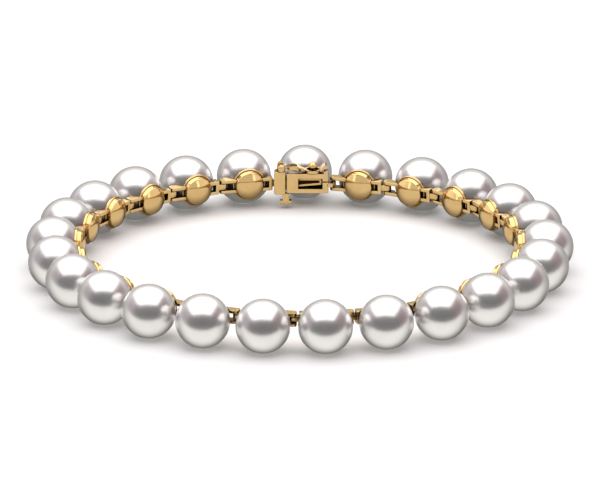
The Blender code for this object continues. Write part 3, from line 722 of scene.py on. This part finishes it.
def make_thumb_tab():
    """The slanted tab that lifts the latch."""
    low = BOX_TOP + LATCH_LIFT + LATCH_THICKNESS / 2
    start = (BALL_PLACE + LATCH_BALL_RING_HALF_LENGTH - LATCH_RING_WIDTH / 2, low)
    along = (math.cos(THUMB_ANGLE), math.sin(THUMB_ANGLE))
    across = (-along[1] * LATCH_THICKNESS / 2, along[0] * LATCH_THICKNESS / 2)
    end = (start[0] + along[0] * THUMB_LENGTH, start[1] + along[1] * THUMB_LENGTH)
    outline = [(start[0] - across[0], start[1] - across[1]),
               (end[0] - across[0], end[1] - across[1]),
               (end[0] + across[0], end[1] + across[1]),
               (start[0] + across[0], start[1] + across[1])]
    return soften(prism("thumb", outline, LATCH_MIDDLE - THUMB_DEPTH / 2,
                        LATCH_MIDDLE + THUMB_DEPTH / 2, "Y"), LATCH_EDGE, FINE_EDGE_STEPS)


def make_latch():
    """Barrel with its bore, the bent plate and the thumb tab."""
    bore = LATCH_PIN_RADIUS + LATCH_PIN_GAP
    back = BOX_BACK - LATCH_LUG_DEPTH - LATCH_SIDE_GAP
    rim = LATCH_BARREL_RADIUS - LATCH_BARREL_EDGE
    profile = [(bore, BOX_FACE), (rim, BOX_FACE),
               (LATCH_BARREL_RADIUS, BOX_FACE + LATCH_BARREL_EDGE),
               (LATCH_BARREL_RADIUS, back - LATCH_BARREL_EDGE), (rim, back), (bore, back)]
    barrel = lathe("barrel", profile, LATCH_PIN_SIDES, "Y", (LATCH_AXIS_X, 0, LATCH_AXIS_Z),
                   closed=True)
    return gather("safety_latch", [barrel, make_latch_plate(), make_thumb_tab()])


def setting_place(index):
    """Where a setting's frame stands; number 0 is the clasp at the far side."""
    angle = STEP_ANGLE * index
    place = Matrix.Translation((-RING_RADIUS * math.sin(angle),
                                RING_CENTRE_Y + RING_RADIUS * math.cos(angle), PEARL_RADIUS))
    tilt = Matrix.Rotation(SETTING_TILT * math.cos(angle) if index else 0.0, 4, "X")
    return place @ Matrix.Rotation(angle, 4, "Z") @ tilt


def shader_of(material):
    """The material's main shader."""
    return material.node_tree.nodes["Principled BSDF"]


def make_material(name, values):
    """A new material whose main shader has the given values."""
    material = bpy.data.materials.new(name)
    material.use_nodes = True
    for socket, value in values.items():
        shader_of(material).inputs[socket].default_value = value
    return material


def noise_mix(material, noise_values, colours, socket):
    """Vary a socket softly over the surface, between two colours."""
    tree = material.node_tree
    place = tree.nodes.new("ShaderNodeTexCoord")
    noise = tree.nodes.new("ShaderNodeTexNoise")
    noise.inputs["Scale"].default_value, noise.inputs["Detail"].default_value = noise_values
    ramp = tree.nodes.new("ShaderNodeValToRGB")
    for element, position, colour in zip(ramp.color_ramp.elements, NOISE_STEP, colours):
        element.position = position
        element.color = (*colour, 1)
    tree.links.new(place.outputs["Object"], noise.inputs["Vector"])
    tree.links.new(noise.outputs["Fac"], ramp.inputs["Fac"])
    tree.links.new(ramp.outputs["Color"], shader_of(material).inputs[socket])


def paint_crevice_shade(material, reach, dark):
    """Paint shade into the main colour where other surfaces are close, as painted crevice shade.
    """
    tree = material.node_tree
    base = shader_of(material).inputs["Base Color"]
    near = tree.nodes.new("ShaderNodeAmbientOcclusion")
    near.samples = CREVICE_SHADE_SAMPLES
    near.inputs["Distance"].default_value = reach
    # painted shade: the colour darkens where ambient occlusion finds other surfaces close
    open_share = smooth_step(tree, near.outputs["AO"], *CREVICE_SHADE_STEP)
    shade = blend_colours(tree, open_share, dark, base.links[0].from_socket)
    tree.links.new(shade, base)


def make_nacre():
    """White nacre: a satin mirror under a clear skin, in a softly varied warm white, with painted
    shade where other surfaces are close.
    """
    material = make_material("nacre_looks", NACRE_VALUES)
    noise_mix(material, NACRE_NOISE, NACRE_COLOURS, "Base Color")
    paint_crevice_shade(material, *NACRE_CREVICE_SHADE)
    return material


def make_gold():
    """Polished yellow gold with faint wear, and painted shade in its crevices."""
    material = make_material("gold_looks", GOLD_VALUES)
    noise_mix(material, GOLD_NOISE, GOLD_COLOURS, "Base Color")
    noise_mix(material, GOLD_WEAR_NOISE, GOLD_WEAR, "Roughness")
    paint_crevice_shade(material, *GOLD_CREVICE_SHADE)
    return material


def add_camera():
    """The photo's view, nearly parallel, from the front and slightly above."""
    azimuth, elevation = CAMERA_AZIMUTH, CAMERA_ELEVATION
    forward = Vector((-math.sin(azimuth) * math.cos(elevation),
                      math.cos(azimuth) * math.cos(elevation), -math.sin(elevation)))
    right = Vector((math.cos(azimuth), math.sin(azimuth), 0.0))
    up = right.cross(forward)
    target = Vector((0, 0, PEARL_RADIUS)) + right * CAMERA_RIGHT + up * CAMERA_UP
    data = bpy.data.cameras.new("camera")
    data.lens = CAMERA_LENS
    data.sensor_width = CAMERA_SENSOR
    data.clip_start, data.clip_end = CAMERA_CLIP
    camera = add_object("camera", data)
    place = target - forward * CAMERA_DISTANCE
    turn = Matrix((right, up, -forward)).transposed().to_4x4()
    camera.matrix_world = Matrix.Translation(place) @ turn
    bpy.context.scene.camera = camera


def add_floor():
    """A white table, left out of reflections, bounced light and shadows."""
    mesh = bpy.data.meshes.new("floor")
    mesh.from_pydata([(-TABLE_REACH, -TABLE_REACH, 0), (TABLE_REACH, -TABLE_REACH, 0),
                      (TABLE_REACH, TABLE_REACH, 0), (-TABLE_REACH, TABLE_REACH, 0)],
                     [], [(0, 1, 2, 3)])
    floor = add_object("floor", mesh)
    material = make_material("table_white", {"Base Color": TABLE_WHITE, **MATT})
    floor.data.materials.append(material)
    floor.visible_glossy = False
    floor.visible_diffuse = False
    floor.visible_shadow = False
    return floor


def add_shade():
    """The table inside the ring as the reflections show it: a painted grey sheet, with a painted
    shadow near the pearls.
    """
    mesh = bpy.data.meshes.new("shade")
    ring = [(x, y, SHADE_LEVEL)
            for x, y in oval((0, SHADE_PLACE), SHADE_RADIUS, SHADE_RADIUS, SHADE_SIDES)]
    mesh.from_pydata(ring, [], [tuple(range(SHADE_SIDES))])
    shade = add_object("shade", mesh)
    material = make_material("table_painted_shade", MATT)
    tree = material.node_tree
    place = tree.nodes.new("ShaderNodeTexCoord")
    distance = tree.nodes.new("ShaderNodeVectorMath")
    distance.operation = "LENGTH"
    tree.links.new(place.outputs["Object"], distance.inputs[0])
    # painted shadow: the disc's colour darkens from grey to dark towards the pearls
    near = smooth_step(tree, distance.outputs["Value"], *SHADE_PAINTED_SHADOW_FADE)
    tree.links.new(blend_colours(tree, near, SHADE_INSIDE, SHADE_PAINTED_SHADOW),
                   shader_of(material).inputs["Base Color"])
    shade.data.materials.append(material)
    shade.visible_camera = False
    shade.visible_diffuse = False
    shade.visible_shadow = False
    return shade


def add_panel(name, size, place, brightness):
    """A soft box that shines straight down and looks as bright as said."""
    data = bpy.data.lights.new(name, "AREA")
    data.shape = "RECTANGLE"
    data.size, data.size_y = size
    data.energy = brightness * math.pi * size[0] * size[1]
    light = add_object(name, data)
    light.location = place
    return light


def light_only(light, name, items):
    """Let a light fall on the given objects alone."""
    only = bpy.data.collections.new(name)
    for item in items:
        only.objects.link(item)
    light.light_linking.receiver_collection = only


def add_cards(metal):
    """White cards in front and at the sides that only the metal mirrors."""
    for size, place, turn, light in (FRONT_CARD, *SIDE_CARDS):
        card = add_panel("card", size, place, light)
        card.rotation_euler = (math.radians(90), 0, math.radians(turn))
        light_only(card, "metal", metal)


def smooth_step(tree, value, low, high):
    """A soft step from 0 to 1 as the value goes from low to high."""
    node = tree.nodes.new("ShaderNodeMapRange")
    node.interpolation_type = "SMOOTHSTEP"
    node.inputs["From Min"].default_value = low
    node.inputs["From Max"].default_value = high
    tree.links.new(value, node.inputs["Value"])
    return node.outputs["Result"]


def blend_colours(tree, share, first, second):
    """Mix two colours or sockets by a share."""
    node = tree.nodes.new("ShaderNodeMix")
    node.data_type = "RGBA"
    tree.links.new(share, node.inputs["Factor"])
    pair = [entry for entry in node.inputs if entry.type == "RGBA"]
    for socket, colour in zip(pair, (first, second)):
        if isinstance(colour, tuple):
            socket.default_value = (*colour, 1.0)
        else:
            tree.links.new(colour, socket)
    return [entry for entry in node.outputs if entry.type == "RGBA"][0]


def add_world():
    """A studio, light behind, darker at the sides and darkest in front, on a light ground."""
    world = bpy.data.worlds.new("room")
    world.use_nodes = True
    tree = world.node_tree
    place = tree.nodes.new("ShaderNodeTexCoord")
    split = tree.nodes.new("ShaderNodeSeparateXYZ")
    tree.links.new(place.outputs["Generated"], split.inputs["Vector"])
    along, height = split.outputs["Y"], split.outputs["Z"]
    below = blend_colours(tree, smooth_step(tree, height, *GROUND_DARK_STEP),
                          GROUND_DARK, GROUND_FAR)
    ground = blend_colours(tree, smooth_step(tree, along, *GROUND_STEP), GROUND_LIGHT, below)
    side = blend_colours(tree, smooth_step(tree, split.outputs["X"], *SIDE_STEP),
                         LEFT_DARK, RIGHT_DARK)
    front = blend_colours(tree, smooth_step(tree, along, *FRONT_STEP), FRONT_DARK, side)
    room = blend_colours(tree, smooth_step(tree, along, *BACK_STEP), front, BACK_LIGHT)
    above = tree.nodes.new("ShaderNodeMath")
    above.operation = "MULTIPLY_ADD"
    above.inputs[1].default_value = -GROUND_TILT
    tree.links.new(along, above.inputs[0])
    tree.links.new(height, above.inputs[2])
    colour = blend_colours(tree, smooth_step(tree, above.outputs["Value"], *HORIZON_STEP),
                           ground, room)
    tree.links.new(colour, tree.nodes["Background"].inputs["Color"])
    bpy.context.scene.world = world


def dress(item, node, body, material):
    """Let a piece stand for a CAD node."""
    item.data.materials.clear()
    item.data.materials.append(material)
    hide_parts(node)
    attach(item, body)


def add_copy(pattern, name, place):
    """Another object whose mesh is the pattern's, moved to a place."""
    mesh = pattern.data.copy()
    mesh.transform(place)
    return add_object(name, mesh)


def add_bracelet():
    """All pieces, each standing for its CAD node, as lists of metal, near and far pearls."""
    metal = []
    near = []
    far = []
    nacre = make_nacre()
    gold = make_gold()
    pearl = make_pearl()
    link = make_link()
    for index in range(PEARL_COUNT):
        place = setting_place(index)
        if index == 0:
            place = place @ Matrix.Translation((0, CLASP_PUSH, 0))
        name = f"pearl_{index + 1:02d}"
        item = add_copy(pearl, f"{name}_looks", place)
        dress(item, name, "bracelet", nacre)
        (far if math.cos(STEP_ANGLE * index) > FAR_SHARE else near).append(item)
        if index:
            name = f"link_{index:02d}"
            metal.append(add_copy(link, f"{name}_looks", place))
            dress(metal[-1], name, "bracelet", gold)
    bpy.data.objects.remove(pearl, do_unlink=True)
    bpy.data.objects.remove(link, do_unlink=True)
    pieces = ((make_clasp_box, "clasp_box", "bracelet"),
              (make_clasp_tongue, "clasp_tongue", "bracelet"),
              (make_latch, "safety_latch", "safety_latch"))
    for make, node, body in pieces:
        pattern = make()
        item = add_copy(pattern, f"{node}_looks", setting_place(0))
        bpy.data.objects.remove(pattern, do_unlink=True)
        dress(item, node, body, gold)
        metal.append(item)
    return metal, near, far


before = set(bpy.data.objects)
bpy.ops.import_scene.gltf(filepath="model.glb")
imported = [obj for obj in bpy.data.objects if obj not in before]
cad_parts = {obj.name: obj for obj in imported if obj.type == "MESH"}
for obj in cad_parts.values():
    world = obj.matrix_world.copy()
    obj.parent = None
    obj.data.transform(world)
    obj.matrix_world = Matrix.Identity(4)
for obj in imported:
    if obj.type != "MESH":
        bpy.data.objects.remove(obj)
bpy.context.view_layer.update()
add_camera()
add_world()
shade = add_shade()
table = add_floor()
metal, near, far = add_bracelet()
light_only(add_panel("soft_box", *SOFT_BOX), "most", [table, shade, *metal, *near])
light_only(add_panel("far_box", *FAR_BOX), "far_pearls", far)
light_only(add_panel("table_light", *TABLE_BOX), "table", [table])
add_cards(metal)
bpy.context.scene.view_settings.view_transform = "Standard"
